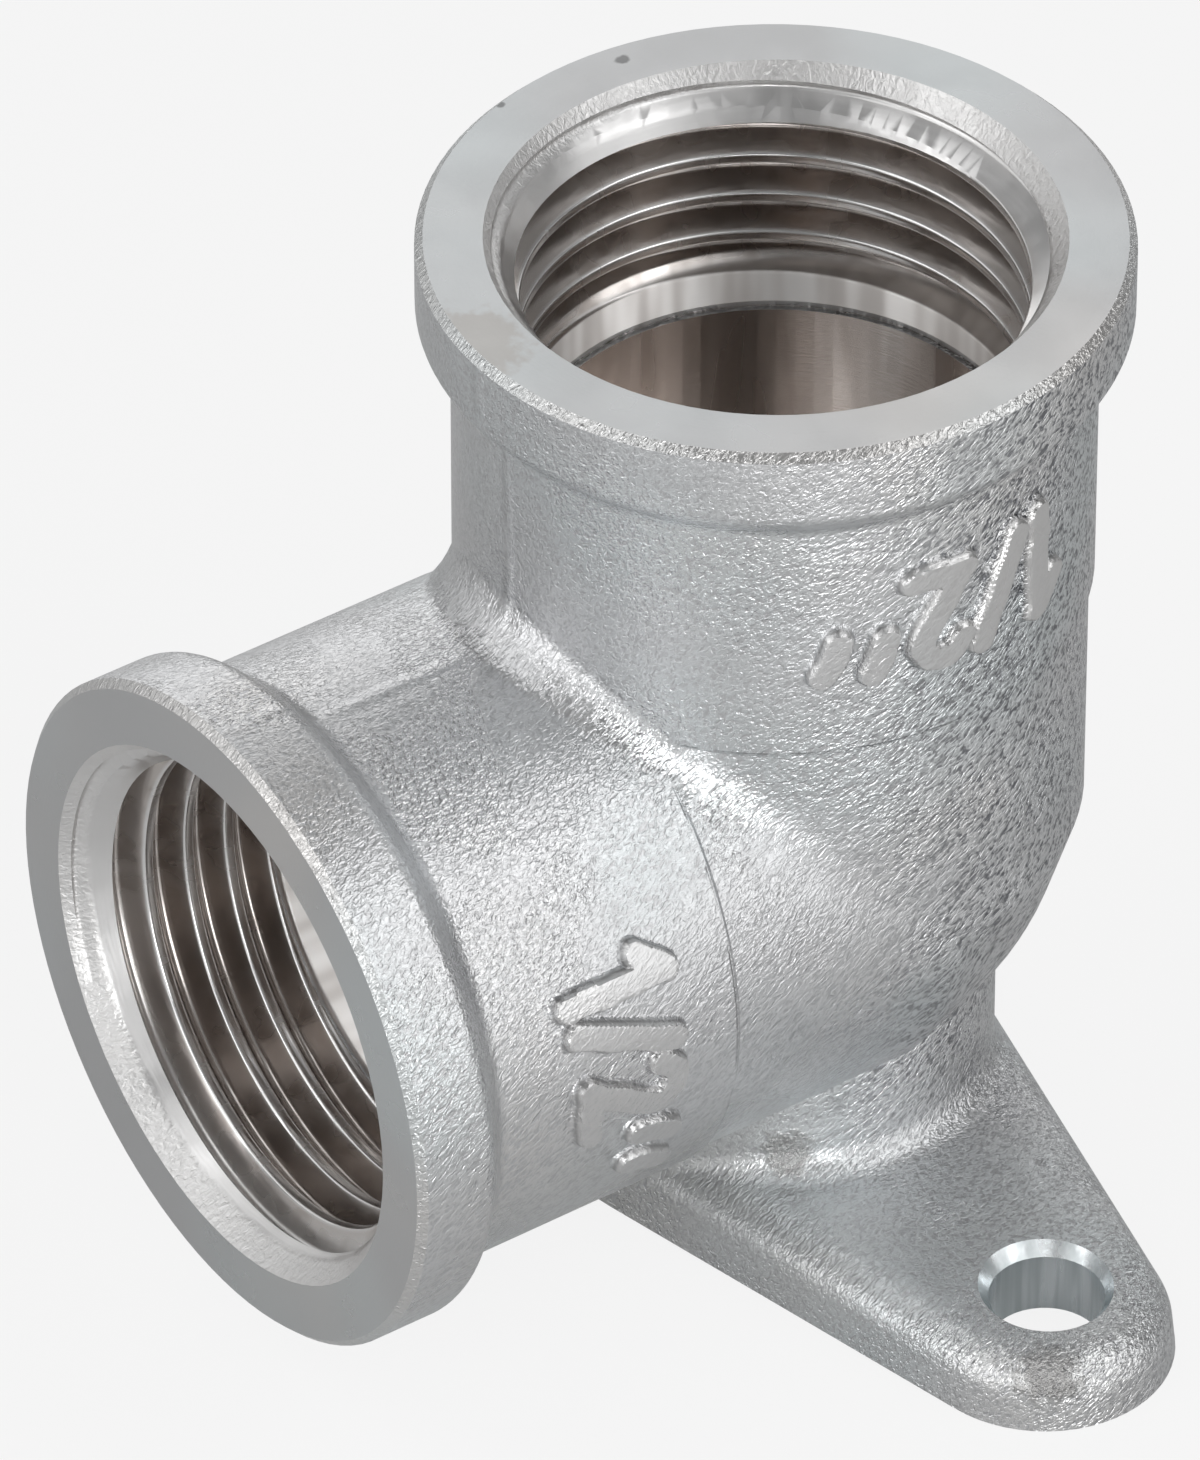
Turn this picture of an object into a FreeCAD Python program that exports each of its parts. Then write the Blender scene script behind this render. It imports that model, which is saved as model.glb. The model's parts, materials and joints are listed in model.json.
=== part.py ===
import FreeCAD, Part
import math
import os

# Wall plate elbow: one forged brass body with two threaded mouths at a right angle.
# Frame: the wall face lies in z = 0 under the corner, the outlet opens along +Z on the Z axis,
# the inlet opens along -Y, and the two screw lugs point along +X and -X.
# All sizes are in millimetres and degrees.

# Where the two axes and the two mouths lie
inlet_axis_height = 15.9
outlet_reach = 25.4
inlet_reach = 25.1

# Inside of each arm: lead-in at the mouth, cone to the thread crests, threaded bore, waterway to the corner
thread_crest_radius = 9.4
thread_length = 10.5
cone_depth = 1.95
cone_rise = 0.67
lead_depth = 0.97
lead_rise = 0.71
waterway_step = 0.2

# Pipe thread of each arm: a V groove with a flat root on a right-handed helix, and where its deep end lies
thread_pitch = 1.814
thread_height = 1.0
thread_flank_angle = 27.5
thread_root_cut = 1 / 8
outlet_groove_depth = 7.05
inlet_groove_depth = 7.7
helix_pieces = 12

# Outside of the corner and of the two arms
body_wall = 2.4
neck_step = 0.2
outlet_step_reach = 10.5
inlet_step_reach = 10.0
throat_fillet = 3.2
corner_relief = 0.5

# Band round each mouth
band_rise = 1.3
band_straight = 3.2
band_slope = 1.2
band_crown_fillet = 0.8
band_root_fillet = 0.8
band_bevel = 0.31

# Wall plate: a round pad and two round tips in a row, joined by straight flanks
pad_radius = 9.05
plate_length = 45.6
lug_spacing = 36.0
lug_tip_radius = 5.0
lug_thickness = 3.0
lug_top_slope = 2.0
flank_draft = 6.0
plate_edge_fillet = 1.9

# Column that carries the corner on the plate
column_inset = 0.45
column_foot_fillet = 1.2
column_head_flare = 1.5

# Screw hole in each lug, with a small chamfer
screw_hole_radius = 2.2
screw_chamfer_width = 0.36
screw_chamfer_depth = 0.46

# Worked out from the driving dimensions
flank_slope = math.tan(math.radians(thread_flank_angle))
thread_root_radius = thread_crest_radius + thread_height
root_half_width = thread_root_cut * thread_pitch / 2
waterway_radius = thread_crest_radius - waterway_step
cone_radius = thread_crest_radius + cone_rise
mouth_radius = cone_radius + lead_rise
body_radius = thread_crest_radius + body_wall
neck_radius = body_radius + neck_step
corner_radius = body_radius - corner_relief
band_radius = neck_radius + band_rise
column_radius = pad_radius - column_inset
screw_hole_x = lug_spacing / 2
tip_centre_x = plate_length / 2 - lug_tip_radius
plate_fall = math.tan(math.radians(lug_top_slope))
plate_ridge = lug_thickness + screw_hole_x * plate_fall

# How far a cutting tool runs past a face or a wall, and how near an edge lies to the place it is looked for
cut_margin = 1.0
wall_margin = 0.1
match = 1e-3

vector = FreeCAD.Vector
corner_centre = vector(0, 0, inlet_axis_height)
outlet_direction = vector(0, 0, 1)
inlet_direction = vector(0, -1, 0)
outlet_placement = FreeCAD.Placement(corner_centre, FreeCAD.Rotation())
half_turn = FreeCAD.Rotation(outlet_direction + inlet_direction, 180)
inlet_placement = FreeCAD.Placement(corner_centre, half_turn)


def middle_of(edge):
    """The point halfway along an edge."""
    return edge.valueAt((edge.FirstParameter + edge.LastParameter) / 2)


def closed_wire(points):
    """A closed wire of straight edges through the points."""
    return Part.makePolygon(points + [points[0]])


def turned(profile):
    """A solid turned about the Z axis from (radius, height) pairs, with its seam toward +Y."""
    face = Part.Face(closed_wire([vector(0, radius, height) for radius, height in profile]))
    return face.revolve(vector(0, 0, 0), outlet_direction, 360)


def placed(shape, placement):
    """A copy of a shape moved from its own frame to the body's."""
    moved = shape.copy()
    moved.Placement = placement
    return moved


def circles_at(shape, radius, height):
    """The circles of a shape turned about the Z axis that lie at one radius and height."""
    found = []
    for edge in shape.Edges:
        middle = middle_of(edge)
        at_radius = abs(math.hypot(middle.x, middle.y) - radius) < match
        level = abs(edge.BoundBox.ZMax - height) < match and abs(edge.BoundBox.ZMin - height) < match
        if at_radius and level:
            found.append(edge)
    return found


def arm_outside(reach, step_reach):
    """Neck and band of one arm, with the corner's centre at the origin and the mouth toward +Z."""
    band_foot = reach - band_straight - band_slope
    band_edge = reach - band_straight
    arm = turned([
        (0, step_reach - 2 * neck_step),
        (body_radius - neck_step, step_reach - 2 * neck_step),
        (neck_radius, step_reach),
        (neck_radius, band_foot),
        (band_radius, band_edge),
        (band_radius, reach - band_bevel),
        (band_radius - band_bevel, reach),
        (0, reach),
    ])
    arm = arm.makeFillet(band_root_fillet, circles_at(arm, neck_radius, band_foot))
    return arm.makeFillet(band_crown_fillet, circles_at(arm, band_radius, band_edge))


def arm_inside(reach):
    """What is bored out of one arm: lead-in, cone to the thread's crests, threaded bore and waterway."""
    return turned([
        (0, 0),
        (waterway_radius, 0),
        (waterway_radius, reach - thread_length),
        (thread_crest_radius, reach - thread_length),
        (thread_crest_radius, reach - cone_depth),
        (cone_radius, reach - lead_depth),
        (mouth_radius, reach),
        (mouth_radius, reach + cut_margin),
        (0, reach + cut_margin),
    ])


def corner_half(step_reach):
    """One arm's share of the corner: a straight cylinder whose end narrows onto the round corner."""
    turn = math.acos(corner_radius / body_radius)
    return turned([
        (0, -corner_radius * math.sin(turn)),
        (corner_radius * math.cos(turn), -corner_radius * math.sin(turn)),
        (body_radius, 0),
        (body_radius, step_reach + neck_radius),
        (0, step_reach + neck_radius),
    ])


def corner_outside():
    """Two equal cylinders that meet on a mitre with a filleted throat, and the round outer corner."""
    outlet_half = placed(corner_half(outlet_step_reach), outlet_placement)
    inlet_half = placed(corner_half(inlet_step_reach), inlet_placement)
    core = outlet_half.fuse(inlet_half)
    mitre = []
    for edge in core.Edges:
        middle = middle_of(edge) - corner_centre
        if abs(middle.z + middle.y) < match and middle.y < -cut_margin and edge.Length > body_radius:
            mitre.append(edge)
    core = core.makeFillet(throat_fillet, mitre)
    return core.fuse(Part.makeSphere(corner_radius, corner_centre))


def plate_outline(height, inset):
    """The plate's outline at one height: a round pad, a round end at each lug, flanks tangent to both."""
    pad = pad_radius - inset
    tip = lug_tip_radius - inset
    lean = math.asin((pad_radius - lug_tip_radius) / tip_centre_x)

    def touch(side_x, side_y, centre_x, radius):
        along = centre_x + math.sin(lean) * radius
        return vector(side_x * along, side_y * math.cos(lean) * radius, height)

    def end_arc(side_x):
        start = touch(side_x, -1, tip_centre_x, tip)
        finish = touch(side_x, 1, tip_centre_x, tip)
        return Part.Arc(start, vector(side_x * (tip_centre_x + tip), 0, height), finish).toShape()

    def pad_arc(side_y):
        start = touch(1, side_y, 0, pad)
        finish = touch(-1, side_y, 0, pad)
        return Part.Arc(start, vector(0, side_y * pad, height), finish).toShape()

    def flank(side_x, side_y):
        return Part.makeLine(touch(side_x, side_y, tip_centre_x, tip), touch(side_x, side_y, 0, pad))

    right = [flank(1, -1), end_arc(1), flank(1, 1)]
    left = [flank(-1, 1), end_arc(-1), flank(-1, -1)]
    return Part.Wire(right + [pad_arc(1)] + left + [pad_arc(-1)])


def plate():
    """The plate without its screw holes: drafted flanks, a top that falls toward the tips, a round rim."""
    inset = plate_ridge * math.tan(math.radians(flank_draft))
    block = Part.makeLoft([plate_outline(0, 0), plate_outline(plate_ridge, inset)], True, True)
    end_x = plate_length / 2 + cut_margin
    end_height = plate_ridge - end_x * plate_fall
    side_y = pad_radius + cut_margin
    roof_profile = [
        vector(-end_x, -side_y, 0),
        vector(end_x, -side_y, 0),
        vector(end_x, -side_y, end_height),
        vector(0, -side_y, plate_ridge),
        vector(-end_x, -side_y, end_height),
    ]
    roof = Part.Face(closed_wire(roof_profile)).extrude(vector(0, 2 * side_y, 0))
    solid = block.common(roof)
    rim = []
    for edge in solid.Edges:
        middle = middle_of(edge)
        on_top = abs(middle.z - plate_ridge + abs(middle.x) * plate_fall) < match
        on_ridge = abs(middle.y) < match and abs(middle.x) < match
        if on_top and not on_ridge:
            rim.append(edge)
    return solid.makeFillet(plate_edge_fillet, rim)


def column():
    """A round column from the wall face up into the corner, with a hollow flare where it meets it."""
    flare_x = column_radius + column_head_flare
    reach = corner_radius + column_head_flare
    flare_z = inlet_axis_height - math.sqrt(reach ** 2 - flare_x ** 2)
    flare_centre = vector(flare_x, 0, flare_z)
    start = vector(column_radius, 0, flare_z)
    toward_corner = (corner_centre - flare_centre).normalize()
    finish = flare_centre + toward_corner * column_head_flare
    toward_middle = (toward_corner + vector(-1, 0, 0)).normalize()
    flare = Part.Arc(start, flare_centre + toward_middle * column_head_flare, finish).toShape()
    corners = [finish, vector(0, 0, finish.z), vector(0, 0, 0), vector(column_radius, 0, 0), start]
    profile = Part.Wire([flare] + Part.makePolygon(corners).Edges)
    return Part.Face(profile).revolve(vector(0, 0, 0), outlet_direction, 360)


def plate_with_column():
    """The plate and its column, with a hollow fillet round the column's foot."""
    solid = plate().fuse(column())
    foot = []
    for edge in solid.Edges:
        middle = middle_of(edge)
        on_wall = abs(math.hypot(middle.x, middle.y) - column_radius) < match
        if on_wall and match < edge.BoundBox.ZMin and edge.BoundBox.ZMax < plate_ridge + match:
            foot.append(edge)
    return solid.makeFillet(column_foot_fillet, foot)


def outside():
    """The whole forging before it is drilled: plate, column, corner and both arms."""
    outlet_arm = placed(arm_outside(outlet_reach, outlet_step_reach), outlet_placement)
    inlet_arm = placed(arm_outside(inlet_reach, inlet_step_reach), inlet_placement)
    return plate_with_column().fuse([corner_outside(), outlet_arm, inlet_arm])


def waterway():
    """Both bores and the round end where they meet."""
    outlet_bore = placed(arm_inside(outlet_reach), outlet_placement)
    inlet_bore = placed(arm_inside(inlet_reach), inlet_placement)
    return outlet_bore.fuse([inlet_bore, Part.makeSphere(waterway_radius, corner_centre)])


def helix_piece(radius, side, piece):
    """A short piece of the thread's helix at a radius: a cubic curve that touches it at both ends."""
    step = 2 * math.pi / helix_pieces
    climb = thread_pitch / helix_pieces
    handle = radius * math.tan(step / 4) * 4 / 3
    poles = []
    for end, way in ((piece, 1), (piece + 1, -1)):
        across, along = math.cos(end * step), math.sin(end * step)
        on_helix = vector(radius * across, radius * along, side + end * climb)
        poles.append(on_helix)
        poles.append(on_helix + vector(-along * handle, across * handle, climb / 3) * way)
    curve = Part.BezierCurve()
    curve.setPoles([poles[0], poles[1], poles[3], poles[2]])
    return curve.toShape()


def thread_groove(reach, groove_depth, placement):
    """The groove of one arm's thread as a cutting tool, from its deep end to past the mouth."""
    inner = thread_crest_radius - wall_margin
    inner_half = root_half_width + (thread_root_radius - inner) * flank_slope
    section = [
        (inner, -inner_half),
        (thread_root_radius, -root_half_width),
        (thread_root_radius, root_half_width),
        (inner, inner_half),
    ]
    turns = math.ceil(groove_depth / thread_pitch) + 1
    faces = []
    for piece in range(turns * helix_pieces):
        edges = [helix_piece(radius, side, piece) for radius, side in section]
        for edge, next_edge in zip(edges, edges[1:] + edges[:1]):
            faces.append(Part.makeRuledSurface(edge, next_edge))
    for height in (0, turns * thread_pitch):
        faces.append(Part.Face(closed_wire([vector(radius, 0, height + side) for radius, side in section])))
    shell = Part.makeShell(faces)
    shell.sewShape()
    deep_end = FreeCAD.Placement(vector(0, 0, reach - groove_depth), FreeCAD.Rotation())
    return placed(Part.makeSolid(shell), placement.multiply(deep_end))


def screw_hole():
    """One lug's through hole with the small chamfer at its top, on the Z axis."""
    wide = screw_hole_radius + screw_chamfer_width
    chamfer_foot = lug_thickness - screw_chamfer_depth
    spread = screw_chamfer_width / screw_chamfer_depth
    return turned([
        (0, -cut_margin),
        (screw_hole_radius, -cut_margin),
        (screw_hole_radius, chamfer_foot),
        (wide + cut_margin * spread, lug_thickness + cut_margin),
        (0, lug_thickness + cut_margin),
    ])


def elbow_body():
    """The finished body."""
    holes = []
    for side in (-1, 1):
        hole = screw_hole()
        hole.translate(vector(side * screw_hole_x, 0, 0))
        holes.append(hole)
    drilled = outside().cut([waterway()] + holes).removeSplitter()
    outlet_groove = thread_groove(outlet_reach, outlet_groove_depth, outlet_placement)
    inlet_groove = thread_groove(inlet_reach, inlet_groove_depth, inlet_placement)
    return drilled.cut([outlet_groove, inlet_groove])


os.makedirs("parts", exist_ok=True)
elbow_body().exportStep("parts/elbow_body.step")
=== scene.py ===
import json
import math

import bmesh
import bpy
import numpy as np
from bpy.props import FloatProperty, FloatVectorProperty, PointerProperty
from mathutils import Matrix, Vector


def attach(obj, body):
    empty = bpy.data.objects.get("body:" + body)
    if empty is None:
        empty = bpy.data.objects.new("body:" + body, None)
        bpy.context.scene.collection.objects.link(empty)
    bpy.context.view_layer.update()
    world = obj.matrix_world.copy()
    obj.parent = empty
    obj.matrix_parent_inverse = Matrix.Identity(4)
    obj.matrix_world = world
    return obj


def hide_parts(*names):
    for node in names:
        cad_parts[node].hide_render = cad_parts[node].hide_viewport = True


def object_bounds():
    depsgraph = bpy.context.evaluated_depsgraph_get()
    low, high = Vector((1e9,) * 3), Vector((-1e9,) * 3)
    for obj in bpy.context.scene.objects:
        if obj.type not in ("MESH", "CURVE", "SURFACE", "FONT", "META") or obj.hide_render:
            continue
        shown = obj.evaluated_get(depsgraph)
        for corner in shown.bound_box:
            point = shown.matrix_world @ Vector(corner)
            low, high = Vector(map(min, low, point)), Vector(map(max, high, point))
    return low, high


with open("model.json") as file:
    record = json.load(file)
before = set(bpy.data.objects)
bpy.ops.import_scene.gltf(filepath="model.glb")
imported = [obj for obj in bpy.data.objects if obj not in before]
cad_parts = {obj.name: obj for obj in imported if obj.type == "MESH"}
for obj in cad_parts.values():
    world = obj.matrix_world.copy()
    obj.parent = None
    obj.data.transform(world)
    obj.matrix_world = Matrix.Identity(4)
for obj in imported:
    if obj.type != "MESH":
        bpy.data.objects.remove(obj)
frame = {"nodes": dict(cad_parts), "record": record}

bl_info = {
    "name": "Wall plate elbow",
    "version": (1, 0, 0),
    "blender": (4, 5, 0),
    "location": "3D View > Sidebar > Elbow",
    "description": "Pipe threads, raised size marks, plated finish and stage for a wall plate elbow",
    "category": "Object",
}

# What the frame gives: the body's node, its box, and the mouths and screw holes as their mounts state them
BODY_NODE = "elbow_body"
CAD_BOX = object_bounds()
MOUNTS = {mount["name"]: mount for mount in frame["record"]["mounts"]}

# The direction across the two lugs, the gap below which two points are merged, and the sharpest bend that
# is shaded smooth
ACROSS = Vector((1, 0, 0))
WELD = 1e-7
SMOOTH_BEND = math.radians(28)
MILLIMETRE = 0.001
WHITE = (1, 1, 1, 1)


class Arm:
    """One arm's own frame: across is angle 0, upright a quarter turn on, and the axis points outward."""

    def __init__(self, mount_name):
        mount = MOUNTS[mount_name]
        self.axis = Vector(mount["axis"])
        self.upright = self.axis.cross(ACROSS)
        self.crest_radius = mount["dims"]["r_mm"] * MILLIMETRE
        on_axis = Vector(mount["pos_m"])
        low, high = CAD_BOX
        furthest = high if self.axis.dot(Vector((1, 1, 1))) > 0 else low
        self.mouth = on_axis + self.axis * (furthest - on_axis).dot(self.axis)

    def points(self, angle, radius, depth):
        """Points at an angle and radius about the arm's axis and a depth below its mouth, as arrays.

        Each is the mouth, plus the radius times the angle's cosine across and times its sine upright, less
        the depth along the axis."""
        angle, radius, depth = np.broadcast_arrays(angle, radius, depth)
        side = np.multiply.outer(radius * np.cos(angle), np.array(ACROSS))
        side = side + np.multiply.outer(radius * np.sin(angle), np.array(self.upright))
        return np.array(self.mouth) + side - np.multiply.outer(depth, np.array(self.axis))

    def measures(self, places, normals):
        """Depth below the mouth, distance from the axis, and how each normal leans out and away from it."""
        offset = places - np.array(self.mouth)
        depth = -offset @ np.array(self.axis)
        radial = offset + np.outer(depth, np.array(self.axis))
        distance = np.linalg.norm(radial, axis=1)
        outward = np.einsum("ij,ij->i", normals, radial) / np.maximum(distance, 1e-9)
        return depth, distance, normals @ np.array(self.axis), outward


OUTLET = Arm("outlet_thread")
INLET = Arm("inlet_thread")


# Which way the blasted skin's ripples run
RIPPLE_LEAN = Vector((0.04, 0.835, 0.549)).to_track_quat("X", "Z").to_euler()

# Local marks, each as its centre and radius: scuffs on the skin, dents with painted shade and a stain on the
# upper mouth's face
SCUFFS = (
    ((0.0214, -0.0024, 0.0023), 0.0013),
    ((0.0074, -0.0044, 0.0044), 0.0011),
)
DENTS = (
    ((-0.01204, 0.00152, 0.0413), 0.0003),
    ((-0.01234, -0.00379, 0.0413), 0.0002),
    ((0.01273, -0.00297, 0.0413), 0.00016),
)
STAINS = (
    ((-0.001, -0.0128, 0.0413), 0.0022),
)

# Where the skin's ripples grow deeper and its pits take darker painted shade: the places between which it
# does so, across, along the inlet's axis and up
COARSE_SHADED_X = (2 * MILLIMETRE, 7 * MILLIMETRE)
COARSE_SHADED_Y = (-3 * MILLIMETRE, 5 * MILLIMETRE)
COARSE_SHADED_Z = (3 * MILLIMETRE, 9 * MILLIMETRE)

# The part of a neck that holds its mark: how far across the arm and how deep below the mouth it starts,
# and how deep it ends
MARK_SIDE = (5 * MILLIMETRE, 6 * MILLIMETRE)
MARK_START = (5.4 * MILLIMETRE, 5.8 * MILLIMETRE)
MARK_END = (12.6 * MILLIMETRE, 13 * MILLIMETRE)

# The parting line over the outlet's neck: half its width, and the heights between which it appears
PARTING_HALF = 0.5 * MILLIMETRE
PARTING_START = (24 * MILLIMETRE, 27 * MILLIMETRE)

# From the middle of the fine line round each arm: where its floor ends and where its edge does
LINE_EDGE = (0.03 * MILLIMETRE, 0.11 * MILLIMETRE)


def length_setting(name, description, millimetres):
    """A size that the user can change, given in millimetres."""
    return FloatProperty(
        name=name, description=description, default=millimetres * MILLIMETRE, subtype="DISTANCE"
    )


def angle_setting(name, description, degrees):
    """An angle that the user can change, given in degrees."""
    return FloatProperty(name=name, description=description, default=math.radians(degrees), subtype="ANGLE")


def colour_setting(name, description, colour):
    """A metal's colour that the user can change."""
    return FloatVectorProperty(
        name=name, description=description, default=colour, subtype="COLOR", min=0, max=1
    )


class ThreadSizes(bpy.types.PropertyGroup):
    """The pipe thread in both mouths: 55 degree flanks with a round root, right-handed."""

    pitch: length_setting("Pitch", "Distance between turns", 1.814)
    root_radius: length_setting("Root radius", "From the axis to the groove's root", 10.478)
    flank_angle: angle_setting("Flank angle", "Half the angle between the flanks", 27.5)
    crest_easing: length_setting("Crest easing", "Radius of the rounding on each side of a crest", 0.13)
    skim: length_setting("Skim", "How far the finished groove lies beyond the solid's", 0.03)
    run_out: angle_setting("Run-out", "How far round the bore the groove fades at its deep end", 110)
    bore_depth: length_setting("Bore depth", "From a mouth to the step at the foot of its bore", 10.52)
    outlet_depth: length_setting("Outlet depth", "From the outlet's mouth to the groove's deep end", 8.86)
    outlet_angle: angle_setting("Outlet angle", "Where the outlet's groove has its deep end", 0)
    inlet_depth: length_setting("Inlet depth", "From the inlet's mouth to the groove's deep end", 7.7)
    inlet_angle: angle_setting("Inlet angle", "Where the inlet's groove has its deep end", 180)


class MarkSizes(bpy.types.PropertyGroup):
    """The raised size mark on each neck."""

    neck_radius: length_setting("Neck radius", "Outside of the neck that carries the mark", 12.0)
    relief: length_setting("Relief", "How far the strokes stand above the neck", 0.42)
    stroke: length_setting("Stroke", "Width of a stroke halfway up its sides", 1.16)
    side: length_setting("Side", "Width of a stroke's sloped side", 0.22)
    cover: length_setting("Cover", "How far the patch lies above the neck between the strokes", 0.006)
    outlet_angle: angle_setting("Outlet angle", "Where the outlet's mark starts round its neck", 22.5)
    outlet_depth: length_setting("Outlet depth", "From the outlet's mouth to the mark's base line", 6.7)
    inlet_angle: angle_setting("Inlet angle", "Where the inlet's mark starts round its neck", 27.0)
    inlet_depth: length_setting("Inlet depth", "From the inlet's mouth to the mark's base line", 7.5)


class FinishSettings(bpy.types.PropertyGroup):
    """Colours and grain of the plated skin and the machined metal."""

    skin_colour: colour_setting("Skin", "Plated casting skin", (0.72, 0.725, 0.735))
    cool_colour: colour_setting("Cool tint", "Where the plating is a little bluish", (0.675, 0.725, 0.735))
    warm_colour: colour_setting("Warm tint", "Where the plating is a little brown", (0.73, 0.71, 0.69))
    # Painted shade at the bottom of the ripples
    pit_shade_colour: colour_setting("Pits", "Duller metal at the bottom of the ripples", (0.6, 0.605, 0.615))
    # Painted shade, darker still, in the ripples of one flank
    deep_pit_shade_colour: colour_setting("Deep pits", "Dull metal in one flank's deep ripples", (0.2, 0.205, 0.22))
    shade_colour: colour_setting("Shade", "Fine lines and the feet of the marks", (0.2, 0.2, 0.205))
    scuff_colour: colour_setting("Scuffs", "Rough dark scuffs on the skin", (0.2, 0.19, 0.18))
    faced_colour: colour_setting("Faced", "Machined mouth faces", (0.6, 0.605, 0.61))
    brown_colour: colour_setting("Stain", "Brownish stain on the upper mouth's face", (0.42, 0.36, 0.31))
    # Painted shade in the small dents of the upper mouth's face
    dent_shade_colour: colour_setting("Dents", "Small dents in the upper mouth's face", (0.15, 0.15, 0.15))
    edge_colour: colour_setting("Edge", "Narrow bright edge round each mouth", (0.72, 0.715, 0.71))
    cone_colour: colour_setting("Lead-in", "Lead-in and cone before each thread", (0.82, 0.815, 0.81))
    bored_colour: colour_setting("Bored", "Bores and threads", (0.68, 0.635, 0.605))
    streak_colour: colour_setting("Streaks", "Brown streaks in the bores", (0.38, 0.33, 0.3))
    # Painted highlight on the thread crests
    crest_highlight_colour: colour_setting("Crests", "Thread crests, worn bright", (0.86, 0.855, 0.85))
    # Painted light on the plain ring behind each thread
    ring_light_colour: colour_setting("Ring", "Plain ring behind each thread", (0.95, 0.93, 0.91))
    # Painted light of a bright bluish white on the screw holes' walls
    drilled_light_colour: colour_setting("Drilled", "Screw holes", (0.92, 0.96, 0.98))
    grain: length_setting("Grain", "Distance between ripples of the blasted skin", 0.16)
    line_depth: length_setting("Line depth", "From the outlet's mouth to the fine line round its arm", 14.9)
    line_shift: length_setting("Line shift", "How much further from its mouth the inlet's line lies", 0.2)
    relief: FloatProperty(
        name="Relief", description="Depth of the ripples as a share of the grain",
        default=0.8, subtype="FACTOR", min=0, max=2,
    )
    ripple_stretch: FloatProperty(
        name="Ripple stretch", description="How many times longer than wide a ripple is", default=2.6,
    )
    ripple_lean: FloatVectorProperty(
        name="Ripple lean", description="Which way the ripples run", default=RIPPLE_LEAN, subtype="EULER",
    )


class StageSettings(bpy.types.PropertyGroup):
    """Where the camera stands, what it looks at, and its lens."""

    azimuth: angle_setting("Azimuth", "Camera's bearing", 55.0734)
    elevation: angle_setting("Elevation", "Camera's height angle", 39.0319)
    distance: FloatProperty(
        name="Distance", description="From the camera to its target", default=0.617196, subtype="DISTANCE"
    )
    target: FloatVectorProperty(
        name="Target", description="What the camera looks at", default=(-0.0112914, 0, 0.010381),
        subtype="TRANSLATION",
    )
    lens: FloatProperty(name="Lens", description="Focal length in millimetres", default=396.5)


def mesh_object(name, points, faces, close=False):
    """A linked object from an array of points and a list of faces, with its normals made to face outward.

    Where it has to be closed, its doubles are merged and its open ends are capped first."""
    mesh = bpy.data.meshes.new(name)
    mesh.from_pydata(points.reshape(-1, 3).tolist(), [], faces)
    shell = bmesh.new()
    shell.from_mesh(mesh)
    if close:
        bmesh.ops.remove_doubles(shell, verts=shell.verts, dist=WELD)
        bmesh.ops.holes_fill(shell, edges=shell.edges, sides=0)
    bmesh.ops.recalc_face_normals(shell, faces=shell.faces)
    shell.to_mesh(mesh)
    shell.free()
    piece = bpy.data.objects.new(name, mesh)
    bpy.context.scene.collection.objects.link(piece)
    return piece


def closed_sweep(name, points):
    """A closed solid from points[i, j]: each section i is a closed loop over j, and both ends are capped."""
    rows, columns = points.shape[:2]
    first = np.arange(rows - 1)[:, None] * columns + np.arange(columns)[None, :]
    second = np.arange(rows - 1)[:, None] * columns + (np.arange(columns)[None, :] + 1) % columns
    quads = np.stack([first, second, second + columns, first + columns], -1).reshape(-1, 4)
    start_cap = list(range(columns))
    end_cap = [(rows - 1) * columns + column for column in start_cap]
    return mesh_object(name, points, quads.tolist() + [start_cap, end_cap])


def closed_wall(name, points):
    """A closed solid from a wall points[i, j] whose rows repeat after one turn, with its ends capped."""
    rows, columns = points.shape[:2]
    first = np.arange(rows - 1)[:, None] * columns + np.arange(columns - 1)[None, :]
    quads = np.stack([first, first + 1, first + columns + 1, first + columns], -1).reshape(-1, 4)
    return mesh_object(name, points, quads.tolist(), close=True)


def combine(piece, tool, operation):
    """Gives the piece its mesh after a union with the tool or a cut by it, and deletes the tool."""
    modifier = piece.modifiers.new(operation, "BOOLEAN")
    modifier.operation = operation
    modifier.solver = "MANIFOLD"
    modifier.object = tool
    graph = bpy.context.evaluated_depsgraph_get()
    result = bpy.data.meshes.new_from_object(piece.evaluated_get(graph))
    piece.modifiers.clear()
    piece.data = result
    bpy.data.objects.remove(tool)


def groove_section(sizes, crest_radius):
    """One pitch of the thread as (along the axis, radius), from mid-crest to just before the next.

    Each flank meets the crest and the root in an arc that is tangent to both. The flanks would meet in a
    point a sixth of the full V's height beyond the root."""
    slope, lean = math.tan(sizes.flank_angle), math.sin(sizes.flank_angle)
    root = sizes.root_radius + sizes.skim
    point = root + sizes.pitch / (12 * slope)
    root_arc = (point - root) * lean / (1 - lean)
    turn = np.linspace(sizes.flank_angle, math.pi - sizes.flank_angle, 7)
    rounded_root = np.stack([root_arc * np.cos(turn), root - root_arc + root_arc * np.sin(turn)], -1)
    corner = (point - crest_radius) * slope
    easing = sizes.crest_easing
    tangent = easing * math.tan((math.pi / 2 - sizes.flank_angle) / 2)
    turn = np.linspace(0, math.pi / 2 - sizes.flank_angle, 4)
    right = np.stack(
        [corner + tangent - easing * np.sin(turn), crest_radius + easing - easing * np.cos(turn)], -1
    )
    left = right[::-1] * (-1, 1)
    crest = np.array([(sizes.pitch / 2, crest_radius)])
    return np.concatenate([crest, right, rounded_root, left])[::-1]


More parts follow.
